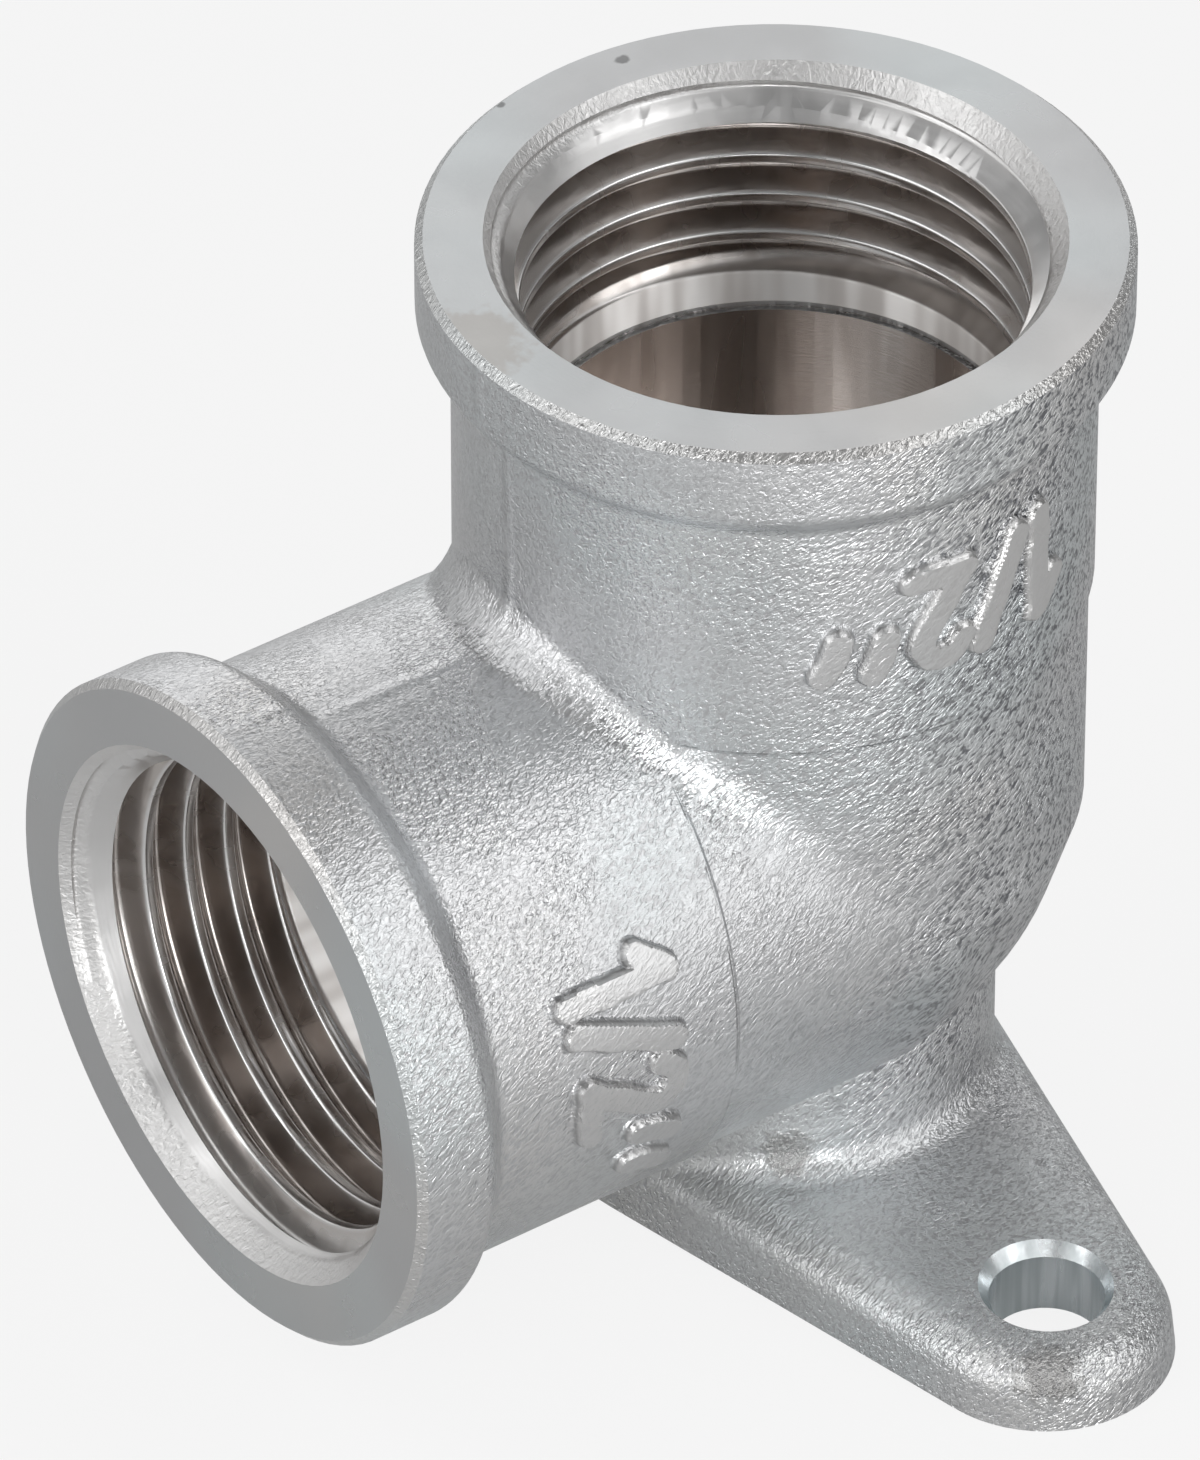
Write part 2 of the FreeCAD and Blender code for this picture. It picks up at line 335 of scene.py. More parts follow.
def threaded_plug(arm, sizes, groove_depth, groove_angle):
    """The tool that finishes one arm's thread: a plug with the thread's section carried along a helix.

    The crest takes up seven tenths of the skim. A point's depth is its place along the axis less one pitch
    for each turn of its angle. Its radius is the crest's, plus the section's rise times a share that fades
    to nothing beyond the groove's deep end."""
    crest_radius = arm.crest_radius + sizes.skim * 0.7
    section = groove_section(sizes, crest_radius)
    columns = 120
    pitches = int(sizes.bore_depth / sizes.pitch) + 4
    turn = np.arange(columns + 1)[:, None, None] / columns
    start = groove_depth / sizes.pitch + np.arange(-pitches, 3)[None, :, None]
    centre = (start - turn) * sizes.pitch
    share = np.clip(1 - (centre - groove_depth) / (sizes.pitch * sizes.run_out / (2 * math.pi)), 0, 1)
    share = share * share * (3 - 2 * share)
    depth = centre + section[None, None, :, 0]
    radius = crest_radius + (section[None, None, :, 1] - crest_radius) * share
    angle = np.broadcast_to(groove_angle + 2 * math.pi * turn, depth.shape)
    above = -0.5 * sizes.pitch
    radius = np.where(depth < above, crest_radius, radius)
    radius = np.where(depth > sizes.bore_depth, crest_radius, radius)
    depth = np.clip(depth, above, sizes.bore_depth)
    wall = arm.points(angle, radius, depth).reshape(columns + 1, -1, 3)
    return closed_wall("thread_tool", wall)


def arc_points(centre, radius, start, finish, count):
    """Points of an arc on the mark's plane, evenly from one angle in degrees to another.

    Each is the centre plus the radius times the angle's cosine and sine."""
    turn = np.radians(np.linspace(start, finish, count))
    return np.stack([centre[0] + radius * np.cos(turn), centre[1] + radius * np.sin(turn)], -1)


def mark_strokes():
    """The strokes of a one-half inch size mark in millimetres: along the reading direction, and up."""
    one = np.array([(0.35, 3.55), (1.25, 4.7), (1.25, 0.3)])
    slash = np.array([(2.4, 0.45), (4.1, 4.6)])
    bowl = arc_points((5.8, 3.75), 0.85, 165, -35, 12)
    two = np.concatenate([bowl, [(4.95, 0.75), (6.95, 0.75)]])
    first_tick = np.array([(8.0, 3.1), (8.5, 4.5)])
    second_tick = np.array([(9.75, 2.95), (10.35, 4.4)])
    return [one, slash, two, first_tick, second_tick]


def stroke_distance(along, up, strokes):
    """Distance from each point of a grid to the nearest straight part of the strokes.

    The nearest place on a part is the point's share of the way along it, held between its two ends."""
    nearest = np.full(along.shape, np.inf)
    for stroke in strokes:
        for start, finish in zip(stroke[:-1], stroke[1:]):
            run = finish - start
            share = ((along - start[0]) * run[0] + (up - start[1]) * run[1]) / (run @ run)
            share = np.clip(share, 0, 1)
            gap = np.hypot(along - start[0] - share * run[0], up - start[1] - share * run[1])
            nearest = np.minimum(nearest, gap)
    return nearest


def size_mark(arm, sizes, start_angle, base_depth):
    """The raised mark on one neck: a patch of the neck whose radius grows by the relief over the strokes.

    The patch is a function of the place along the reading direction, which runs round the neck toward
    smaller angles, and of the height above the base line, which runs away from the mouth. Two crossed sine
    waves make the strokes' edges a little ragged. The patch's rim dips gently below the neck, so that it
    meets the neck with no visible edge."""
    margin, mark_length, mark_height, step = 1.2, 10.9, 5.1, 0.08
    raggedness, rim_width, rim_dip, root = 0.03, 0.7, 0.04, 0.6
    along = np.arange(-margin, mark_length + margin, step)
    up = np.arange(-margin, mark_height + margin, step)
    along, up = np.meshgrid(along, up, indexing="ij")
    waves = np.sin(3.7 * along + 1.9 * up) + np.sin(4.3 * up - 2.7 * along + 1.3)
    ragged = raggedness * waves * MILLIMETRE
    edge = stroke_distance(along, up, mark_strokes()) * MILLIMETRE - sizes.stroke / 2 + ragged
    share = np.clip(0.5 - edge / sizes.side, 0, 1)
    rise = sizes.relief * share * share * (3 - 2 * share)
    to_rim = np.minimum(
        np.minimum(along + margin, along.max() - along), np.minimum(up + margin, up.max() - up)
    )
    dip = np.clip(1 - to_rim / rim_width, 0, 1)
    radius = sizes.neck_radius + sizes.cover - rim_dip * MILLIMETRE * dip * dip + rise
    turn = start_angle - along * MILLIMETRE / sizes.neck_radius
    depth = base_depth + up * MILLIMETRE
    top = arm.points(turn, radius, depth)
    foot = arm.points(turn[:, [-1, 0]], sizes.neck_radius - root * MILLIMETRE, depth[:, [-1, 0]])
    return closed_sweep("mark_tool", np.concatenate([top, foot], 1))


def store_arm_places(mesh):
    """Gives each vertex its place in its arm's own frame, for patterns that follow an arm.

    The place is the two measures across the arm's axis and the depth below its mouth. A vertex belongs to
    the arm that it is further along, measured from the corner."""
    places = np.empty(len(mesh.vertices) * 3)
    mesh.vertices.foreach_get("co", places)
    places = places.reshape(-1, 3)
    corner = np.array((0, 0, INLET.mouth.z))
    along_outlet = (places - corner) @ np.array(OUTLET.axis)
    along_inlet = (places - corner) @ np.array(INLET.axis)
    outlet_place, inlet_place = (
        np.stack([
            (places - np.array(arm.mouth)) @ np.array(ACROSS),
            (places - np.array(arm.mouth)) @ np.array(arm.upright),
            (np.array(arm.mouth) - places) @ np.array(arm.axis),
        ], -1)
        for arm in (OUTLET, INLET)
    )
    arm_places = np.where((along_outlet > along_inlet)[:, None], outlet_place, inlet_place)
    stored = mesh.attributes.new("arm_place", "FLOAT_VECTOR", "POINT")
    stored.data.foreach_set("vector", arm_places.ravel())


def finish_of_faces(mesh):
    """Which finish each face has by where it lies, as its place in FINISHES."""
    count = len(mesh.polygons)
    places, normals = np.empty(count * 3), np.empty(count * 3)
    mesh.polygons.foreach_get("center", places)
    mesh.polygons.foreach_get("normal", normals)
    places, normals = places.reshape(-1, 3), normals.reshape(-1, 3)
    skin, faced, bored, turned, drilled = range(len(FINISHES))
    finish = np.full(count, skin, np.int32)
    hair = 0.02 * MILLIMETRE
    # How a face's normal lies to the arm's axis, to the way outward and to the upright, as cosines
    flat, steep, inward, underside, lug_top = 0.999, 0.5, 0.2, -0.5, 0.98
    bore_limit, bore_length = 10.8 * MILLIMETRE, 25 * MILLIMETRE
    edge_radius, edge_depth = 12.9 * MILLIMETRE, 0.32 * MILLIMETRE
    corner_limit, bevel_width = 9.6 * MILLIMETRE, 0.4 * MILLIMETRE
    for arm in (OUTLET, INLET):
        depth, distance, facing, outward = arm.measures(places, normals)
        finish[(depth < hair) & (facing > flat)] = faced
        in_bore = (distance < bore_limit) & (depth < bore_length) & (outward < inward)
        finish[in_bore & (facing < flat)] = bored
        on_edge = (distance > edge_radius) & (depth < edge_depth) & (facing > steep)
        finish[on_edge & (facing < flat)] = turned
    from_corner = places - np.array(INLET.mouth) * (1, 0, 1)
    lean = np.einsum("ij,ij->i", normals, from_corner)
    finish[(np.linalg.norm(from_corner, axis=1) < corner_limit) & (lean < 0)] = bored
    holes = MOUNTS["lug_holes"]["dims"]
    hole_x = holes["spacing_x_mm"] * MILLIMETRE / 2
    hole_limit = holes["hole_r_mm"] * MILLIMETRE + bevel_width
    in_hole = np.hypot(np.abs(places[:, 0]) - hole_x, places[:, 1]) < hole_limit
    finish[in_hole & (normals[:, 2] > underside) & (normals[:, 2] < lug_top)] = drilled
    return finish


class ELBOW_OT_body(bpy.types.Operator):
    """Cut the threads into the body, raise the size marks on its necks and give each face its finish"""

    bl_idname = "elbow.body"
    bl_label = "Elbow body"

    def execute(self, context):
        scene = context.scene
        node = frame["nodes"][BODY_NODE]
        piece = bpy.data.objects.new("elbow_casting", node.data.copy())
        scene.collection.objects.link(piece)
        stored_normals = piece.data.attributes.get("custom_normal")
        if stored_normals:
            piece.data.attributes.remove(stored_normals)
        welded = bmesh.new()
        welded.from_mesh(piece.data)
        bmesh.ops.remove_doubles(welded, verts=welded.verts, dist=WELD)
        welded.to_mesh(piece.data)
        welded.free()
        threads, marks = scene.elbow_threads, scene.elbow_marks
        combine(piece, size_mark(OUTLET, marks, marks.outlet_angle, marks.outlet_depth), "UNION")
        combine(piece, size_mark(INLET, marks, marks.inlet_angle, marks.inlet_depth), "UNION")
        outlet_plug = threaded_plug(OUTLET, threads, threads.outlet_depth, threads.outlet_angle)
        combine(piece, outlet_plug, "DIFFERENCE")
        inlet_plug = threaded_plug(INLET, threads, threads.inlet_depth, threads.inlet_angle)
        combine(piece, inlet_plug, "DIFFERENCE")
        mesh = piece.data
        mesh.materials.clear()
        groups = {
            "wrinkles": wrinkle_group(scene.elbow_finish), "drift": drift_group(), "spot": spot_group(),
        }
        for make_material in FINISHES:
            mesh.materials.append(make_material(scene, groups))
        mesh.polygons.foreach_set("material_index", finish_of_faces(mesh))
        store_arm_places(mesh)
        mesh.polygons.foreach_set("use_smooth", np.ones(len(mesh.polygons), bool))
        mesh.set_sharp_from_angle(angle=SMOOTH_BEND)
        weighted = piece.modifiers.new("Even shading", "WEIGHTED_NORMAL")
        weighted.keep_sharp = True
        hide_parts(BODY_NODE)
        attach(piece, "root")
        return {"FINISHED"}


def feed(tree, socket, value):
    """Links a socket to another node's output, or sets it to a plain value."""
    if isinstance(value, bpy.types.NodeSocket):
        tree.links.new(value, socket)
    else:
        socket.default_value = value


def worked_out(tree, operation, *values):
    """The result of a maths node."""
    node = tree.nodes.new("ShaderNodeMath")
    node.operation = operation
    for socket, value in zip(node.inputs, values):
        feed(tree, socket, value)
    return node.outputs[0]


def eased(tree, value, low, high, start=0.0, finish=1.0):
    """The value's place between low and high, eased at both ends, as a number from start to finish."""
    node = tree.nodes.new("ShaderNodeMapRange")
    node.interpolation_type = "SMOOTHSTEP"
    for name, number in (("From Min", low), ("From Max", high), ("To Min", start), ("To Max", finish)):
        feed(tree, node.inputs[name], number)
    feed(tree, node.inputs["Value"], value)
    return node.outputs[0]


def blended(tree, share, first, second):
    """The mix of two colours."""
    node = tree.nodes.new("ShaderNodeMix")
    node.data_type = "RGBA"
    feed(tree, node.inputs[0], share)
    feed(tree, node.inputs[6], first)
    feed(tree, node.inputs[7], second)
    return node.outputs[2]


def clouds(tree, place, size, detail=1.0, distortion=0.0):
    """Soft noise from 0 to 1 whose lumps are about one size apart."""
    node = tree.nodes.new("ShaderNodeTexNoise")
    node.inputs["Scale"].default_value = 1 / size
    node.inputs["Detail"].default_value = detail
    node.inputs["Distortion"].default_value = distortion
    feed(tree, node.inputs["Vector"], place)
    return node.outputs["Fac"]


def turned_place(tree, place, rotation, scale):
    """The place seen in a turned frame, and divided by the scale along that frame's axes."""
    node = tree.nodes.new("ShaderNodeMapping")
    node.vector_type = "TEXTURE"
    node.inputs["Rotation"].default_value = rotation
    node.inputs["Scale"].default_value = scale
    feed(tree, node.inputs["Vector"], place)
    return node.outputs[0]


def stretched(tree, place, factors):
    """The place multiplied along each axis."""
    node = tree.nodes.new("ShaderNodeVectorMath")
    node.operation = "MULTIPLY"
    feed(tree, node.inputs[0], place)
    node.inputs[1].default_value = factors
    return node.outputs[0]


def group_of(name, inputs, outputs):
    """An empty node group with its named sockets, its tree and its two end nodes."""
    group = bpy.data.node_groups.new(name, "ShaderNodeTree")
    for socket_name, kind in inputs:
        group.interface.new_socket(socket_name, in_out="INPUT", socket_type="NodeSocket" + kind)
    for socket_name, kind in outputs:
        group.interface.new_socket(socket_name, in_out="OUTPUT", socket_type="NodeSocket" + kind)
    return group, group.nodes.new("NodeGroupInput"), group.nodes.new("NodeGroupOutput")


def placed_group(tree, group, **values):
    """A node that uses a group, with its inputs fed by name."""
    node = tree.nodes.new("ShaderNodeGroup")
    node.node_tree = group
    for name, value in values.items():
        feed(tree, node.inputs[name], value)
    return node.outputs


def arm_measures(tree, arm_place):
    """Distance from the arm's axis, place across it and depth below its mouth, as sockets."""
    reach = tree.nodes.new("ShaderNodeVectorMath")
    reach.operation = "LENGTH"
    tree.links.new(stretched(tree, arm_place, (1, 1, 0)), reach.inputs[0])
    parts = tree.nodes.new("ShaderNodeSeparateXYZ")
    tree.links.new(arm_place, parts.inputs[0])
    return reach.outputs["Value"], parts.outputs["X"], parts.outputs["Z"]


def product(tree, *values):
    """All the values multiplied together."""
    result = values[0]
    for value in values[1:]:
        result = worked_out(tree, "MULTIPLY", result, value)
    return result


def wrinkle_group(finish):
    """Blasted skin: short ripples that lean one way over soft lumps, calmer in broad patches."""
    group, given, result = group_of(
        "wrinkles", [("Place", "Vector")], [("Height", "Float"), ("Fine", "Float"), ("Calm", "Float")]
    )
    place = given.outputs["Place"]
    lean = turned_place(group, place, finish.ripple_lean, (finish.ripple_stretch, 1, 1))
    ripples = clouds(group, lean, finish.grain, 1.5, 0.9)
    pits = clouds(group, place, finish.grain * 1.3, 2.0, 0.4)
    lumps = clouds(group, place, finish.grain * 7)
    calm = eased(group, clouds(group, place, finish.grain * 30), 0.42, 0.62)
    fine = worked_out(group, "MULTIPLY_ADD", ripples, 0.65, worked_out(group, "MULTIPLY", pits, 0.35))
    height = worked_out(group, "MULTIPLY_ADD", lumps, 0.45, fine)
    group.links.new(height, result.inputs["Height"])
    group.links.new(fine, result.inputs["Fine"])
    group.links.new(calm, result.inputs["Calm"])
    return group


def drift_group():
    """Plating whose tint drifts slowly from one place to another, between a cool and a warm one."""
    group, given, result = group_of(
        "tint_drift",
        [("Place", "Vector"), ("Color", "Color"), ("Cool", "Color"), ("Warm", "Color")],
        [("Color", "Color")],
    )
    place = given.outputs["Place"]
    cool = eased(group, clouds(group, place, 0.011), 0.4, 0.7, 0.0, 0.6)
    warm = eased(group, clouds(group, place, 0.017, 2.0), 0.5, 0.75, 0.0, 0.7)
    cooled = blended(group, cool, given.outputs["Color"], given.outputs["Cool"])
    group.links.new(blended(group, warm, cooled, given.outputs["Warm"]), result.inputs["Color"])
    return group


def drifting(tree, groups, place, finish, colour):
    """A plated metal's colour with the slow drift between the cool and the warm tint."""
    return placed_group(
        tree, groups["drift"], Place=place, Color=(*colour, 1),
        Cool=(*finish.cool_colour, 1), Warm=(*finish.warm_colour, 1),
    )["Color"]


def spot_group():
    """A local mark: 1 inside a radius about a centre, fading with a ragged edge to 0."""
    group, given, result = group_of(
        "spot", [("Place", "Vector"), ("Centre", "Vector"), ("Radius", "Float")], [("Mask", "Float")]
    )
    gap = group.nodes.new("ShaderNodeVectorMath")
    gap.operation = "DISTANCE"
    group.links.new(given.outputs["Place"], gap.inputs[0])
    group.links.new(given.outputs["Centre"], gap.inputs[1])
    share = worked_out(group, "DIVIDE", gap.outputs["Value"], given.outputs["Radius"])
    edge = clouds(group, given.outputs["Place"], 0.0005, 2.0)
    ragged = worked_out(group, "ADD", share, worked_out(group, "MULTIPLY_ADD", edge, 1.2, -0.6))
    group.links.new(eased(group, ragged, 0.6, 1.1, 1.0, 0.0), result.inputs["Mask"])
    return group


def most_of_spots(tree, groups, place, spots):
    """The highest of several local marks, each given as its centre and radius."""
    most = 0.0
    for centre, radius in spots:
        spot = placed_group(tree, groups["spot"], Place=place, Centre=centre, Radius=radius)["Mask"]
        most = worked_out(tree, "MAXIMUM", most, spot)
    return most


def new_material(name):
    """A metal and its shader, with the object's coordinates and the place in the arm's frame as sockets."""
    material = bpy.data.materials.new(name)
    material.use_nodes = True
    tree = material.node_tree
    shader = tree.nodes["Principled BSDF"]
    shader.inputs["Metallic"].default_value = 1
    place = tree.nodes.new("ShaderNodeTexCoord").outputs["Object"]
    arm_place = tree.nodes.new("ShaderNodeAttribute")
    arm_place.attribute_name = "arm_place"
    return material, tree, shader, place, arm_place.outputs["Vector"]


def bumped(tree, shader, height, distance, strength=1.0):
    """Feeds a height to the shader's normal."""
    bump = tree.nodes.new("ShaderNodeBump")
    bump.inputs["Distance"].default_value = distance
    feed(tree, bump.inputs["Strength"], strength)
    feed(tree, bump.inputs["Height"], height)
    tree.links.new(bump.outputs["Normal"], shader.inputs["Normal"])


def coarse_shaded_flank(tree, place, parts):
    """How deep the skin's ripples grow and how dark the painted shade in their pits: 0 on most of the body,
    and up to 1 on the flank away from the inlet.
    """
    waves = clouds(tree, place, 0.004, 2.0)
    wavy = worked_out(tree, "MULTIPLY_ADD", waves, 5 * MILLIMETRE, parts.outputs["Y"])
    return product(
        tree, eased(tree, parts.outputs["X"], *COARSE_SHADED_X), eased(tree, wavy, *COARSE_SHADED_Y),
        eased(tree, parts.outputs["Z"], *COARSE_SHADED_Z, 0.3, 1.0),
    )


def raised_mark(tree, marks, distance, across, depth):
    """The height of a size mark as a share of its relief: 0 on the neck and 1 on top of a stroke."""
    on_mark = product(
        tree, eased(tree, across, *MARK_SIDE), eased(tree, depth, *MARK_START),
        eased(tree, depth, *MARK_END, 1.0, 0.0),
    )
    foot = marks.neck_radius + marks.relief * 0.12
    top = marks.neck_radius + marks.relief * 0.9
    return product(tree, on_mark, eased(tree, distance, foot, top))


def parting_line(tree, place, parts):
    """The line that the mould's halves left over the outlet's neck, stronger in some places."""
    from_plane = worked_out(tree, "ABSOLUTE", parts.outputs["X"])
    near_plane = eased(tree, from_plane, 0.0, PARTING_HALF, 1.0, 0.0)
    above = eased(tree, parts.outputs["Z"], *PARTING_START)
    return product(tree, near_plane, above, eased(tree, clouds(tree, place, 0.003), 0.3, 0.6, 0.2, 0.9))


def cast_line(tree, finish, place, parts, depth):
    """The fine line cast round each arm, broken in places.

    A place is on the inlet where its Y and Z add up to less than the height of the inlet's axis."""
    past_corner = worked_out(tree, "ADD", parts.outputs["Y"], parts.outputs["Z"])
    on_inlet = worked_out(tree, "LESS_THAN", past_corner, INLET.mouth.z)
    line_depth = worked_out(tree, "MULTIPLY_ADD", on_inlet, finish.line_shift, finish.line_depth)
    from_line = worked_out(tree, "ABSOLUTE", worked_out(tree, "SUBTRACT", depth, line_depth))
    return product(
        tree, eased(tree, from_line, *LINE_EDGE, 1.0, 0.0),
        eased(tree, clouds(tree, place, 0.0014, 2.0), 0.38, 0.66, 0.05, 0.8),
    )


def skin_material(scene, groups):
    """The blasted and plated casting skin: ripples with painted shade in their pits, deeper and with darker
    painted shade on one flank.

    The parting line, the fine line round each arm and a few scuffs lie over it. The tops of the size marks
    are smoother and lighter, with shade at their feet."""
    finish = scene.elbow_finish
    material, tree, shader, place, arm_place = new_material("blasted_plating")
    parts = tree.nodes.new("ShaderNodeSeparateXYZ")
    tree.links.new(place, parts.inputs[0])
    distance, across, depth = arm_measures(tree, arm_place)
    wrinkles = placed_group(tree, groups["wrinkles"], Place=place)
    # Deeper ripples, with darker painted shade in their pits, on one flank
    coarse_and_shaded = coarse_shaded_flank(tree, place, parts)
    scuffs = most_of_spots(tree, groups, place, SCUFFS)
    raised = raised_mark(tree, scene.elbow_marks, distance, across, depth)
    line = cast_line(tree, finish, place, parts, depth)

    smoothing = product(tree, raised, worked_out(tree, "MULTIPLY_ADD", coarse_and_shaded, 0.3, 0.6))
    calmed = worked_out(tree, "SUBTRACT", 1.0, smoothing)
    deepened = worked_out(tree, "MULTIPLY_ADD", coarse_and_shaded, 1.3, 1.0)
    ripples = product(tree, wrinkles["Height"], calmed, deepened)
    rough_spot = product(tree, scuffs, clouds(tree, place, finish.grain * 0.8, 3.0))
    lumps = worked_out(tree, "ADD", rough_spot, parting_line(tree, place, parts))
    height = worked_out(tree, "ADD", ripples, lumps)
    height = worked_out(tree, "SUBTRACT", height, product(tree, line, 0.6))
    strength = eased(tree, wrinkles["Calm"], 0, 1, 0.9, 0.62)
    bumped(tree, shader, height, finish.grain * finish.relief, strength)

    colour = drifting(tree, groups, place, finish, finish.skin_colour)
    # Painted shade in the ripples' pits, darker still on one flank
    pits = blended(tree, coarse_and_shaded, (*finish.pit_shade_colour, 1), (*finish.deep_pit_shade_colour, 1))
    colour = blended(tree, eased(tree, wrinkles["Fine"], 0.38, 0.54), pits, colour)
    colour = blended(tree, product(tree, line, 0.3), colour, (*finish.shade_colour, 1))
    colour = blended(tree, product(tree, scuffs, 0.55), colour, (*finish.scuff_colour, 1))
    sides = product(tree, raised, worked_out(tree, "SUBTRACT", 1.0, raised), 4.0)
    colour = blended(tree, product(tree, sides, 0.75), colour, (*finish.shade_colour, 1))
    on_top = product(tree, raised, worked_out(tree, "MULTIPLY_ADD", coarse_and_shaded, 0.35, 0.6))
    colour = blended(tree, on_top, colour, (*finish.edge_colour, 1))
    tree.links.new(colour, shader.inputs["Base Color"])
    tree.links.new(eased(tree, wrinkles["Calm"], 0, 1, 0.27, 0.34), shader.inputs["Roughness"])
    return material


def faced_material(scene, groups):
    """The machined mouth faces: satin metal with faint rings, painted shade in a few dents and a brownish
    stain.
    """
    finish = scene.elbow_finish
    material, tree, shader, place, arm_place = new_material("faced_metal")
    distance, _, _ = arm_measures(tree, arm_place)
    colour = drifting(tree, groups, place, finish, finish.faced_colour)
    stains = most_of_spots(tree, groups, place, STAINS)
    colour = blended(tree, product(tree, stains, 0.4), colour, (*finish.brown_colour, 1))
    # Painted shade in a few dents
    dents = most_of_spots(tree, groups, place, DENTS)
    colour = blended(tree, product(tree, dents, 0.7), colour, (*finish.dent_shade_colour, 1))
    tree.links.new(colour, shader.inputs["Base Color"])
    rings = tree.nodes.new("ShaderNodeTexNoise")
    rings.noise_dimensions = "1D"
    rings.inputs["Scale"].default_value = 1 / (0.12 * MILLIMETRE)
    tree.links.new(distance, rings.inputs["W"])
    frost = clouds(tree, place, 0.16 * MILLIMETRE, 2.0)
    height = worked_out(tree, "MULTIPLY_ADD", rings.outputs["Fac"], 0.5, frost)
    bumped(tree, shader, height, 0.007 * MILLIMETRE)
    roughness = eased(tree, clouds(tree, place, 0.003, 3.0), 0.3, 0.7, 0.27, 0.35)
    tree.links.new(roughness, shader.inputs["Roughness"])
    return material


def bored_material(scene, groups):
    """Bores and threads: cut metal with fine turning lines, brownish and streaked deeper in.

    The crests carry a painted highlight. The lead-in at a mouth is beaten rough. The plain ring behind the
    thread has painted light, is more matt and is shaded as if it leaned toward the mouth."""
    finish, threads = scene.elbow_finish, scene.elbow_threads
    material, tree, shader, _, arm_place = new_material("bored_metal")
    distance, _, depth = arm_measures(tree, arm_place)
    deeper = eased(tree, depth, 1.7 * MILLIMETRE, 2.6 * MILLIMETRE)
    streaks = clouds(tree, stretched(tree, arm_place, (1, 1, 0.12)), 1.1 * MILLIMETRE, 1.0)
    streaked = product(tree, deeper, eased(tree, streaks, 0.45, 0.75, 0.0, 0.6))
    above_step = eased(tree, depth, threads.bore_depth - 0.25 * MILLIMETRE, threads.bore_depth, 1.0, 0.0)
    past_thread = eased(tree, depth, threads.outlet_depth - 0.5 * MILLIMETRE, threads.outlet_depth)
    ring = product(tree, above_step, past_thread)
    crest = OUTLET.crest_radius
    on_crest = eased(tree, distance, crest + 0.06 * MILLIMETRE, crest + 0.2 * MILLIMETRE, 1.0, 0.0)
    # Painted highlight on the thread crests
    painted = product(tree, on_crest, deeper, above_step, worked_out(tree, "SUBTRACT", 1.0, ring))
    colour = blended(tree, deeper, (*finish.cone_colour, 1), (*finish.bored_colour, 1))
    colour = blended(tree, streaked, colour, (*finish.streak_colour, 1))
    # Painted light on the plain ring, broken by the streaks
    ring_light = product(tree, ring, eased(tree, streaks, 0.35, 0.65, 1.0, 0.5))
    colour = blended(tree, ring_light, colour, (*finish.ring_light_colour, 1))
    colour = blended(tree, painted, colour, (*finish.crest_highlight_colour, 1))
    tree.links.new(colour, shader.inputs["Base Color"])
    lines = clouds(tree, stretched(tree, arm_place, (0.08, 0.08, 1)), 0.09 * MILLIMETRE, 0.0)
    beaten = clouds(tree, stretched(tree, arm_place, (1, 1, 0.35)), 0.2 * MILLIMETRE, 2.0, 0.5)
    at_mouth = eased(tree, depth, 0.75 * MILLIMETRE, 1.05 * MILLIMETRE, 1.0, 0.0)
    height = worked_out(tree, "MULTIPLY_ADD", product(tree, at_mouth, beaten), 14.0, lines)
    line_height = 0.004 * MILLIMETRE
    into_ring = worked_out(tree, "SUBTRACT", depth, threads.outlet_depth)
    height = worked_out(tree, "MULTIPLY_ADD", product(tree, ring, into_ring), 0.9 / line_height, height)
    bumped(tree, shader, height, line_height)
    roughness = eased(tree, streaks, 0.3, 0.8, 0.19, 0.3)
    in_cone = worked_out(tree, "SUBTRACT", 1.0, deeper)
    for mask, rise in ((in_cone, 0.12), (ring, 0.25), (at_mouth, 0.1)):
        roughness = worked_out(tree, "MULTIPLY_ADD", mask, rise, roughness)
    tree.links.new(roughness, shader.inputs["Roughness"])
    return material


def drilled_material(scene, groups):
    """The drilled screw holes: smooth metal with painted light of a bright bluish white, and bands of fine
    lines down the wall.
    """
    finish = scene.elbow_finish
    material, tree, shader, place, _ = new_material("drilled_metal")
    bands = clouds(tree, stretched(tree, place, (1, 1, 0.06)), 0.5 * MILLIMETRE, 2.0)
    in_band = eased(tree, bands, 0.35, 0.7)
    # Painted light on the wall, with bands of the cool tint
    colour = blended(tree, in_band, (*finish.drilled_light_colour, 1), (*finish.cool_colour, 1))
    tree.links.new(colour, shader.inputs["Base Color"])
    tree.links.new(eased(tree, bands, 0.3, 0.7, 0.24, 0.36), shader.inputs["Roughness"])
    bumped(tree, shader, bands, 0.01 * MILLIMETRE)
    return material


def turned_material(scene, groups):
    """The narrow edge round each mouth: bright, and beaten by the blasting."""
    finish = scene.elbow_finish
    material, tree, shader, place, _ = new_material("turned_edge")
    shader.inputs["Roughness"].default_value = 0.3
    colour = drifting(tree, groups, place, finish, finish.edge_colour)
    tree.links.new(colour, shader.inputs["Base Color"])
    wrinkles = placed_group(tree, groups["wrinkles"], Place=place)
    bumped(tree, shader, wrinkles["Height"], finish.grain * finish.relief)
    return material


# The finishes in the order in which finish_of_faces numbers them
FINISHES = (skin_material, faced_material, bored_material, turned_material, drilled_material)


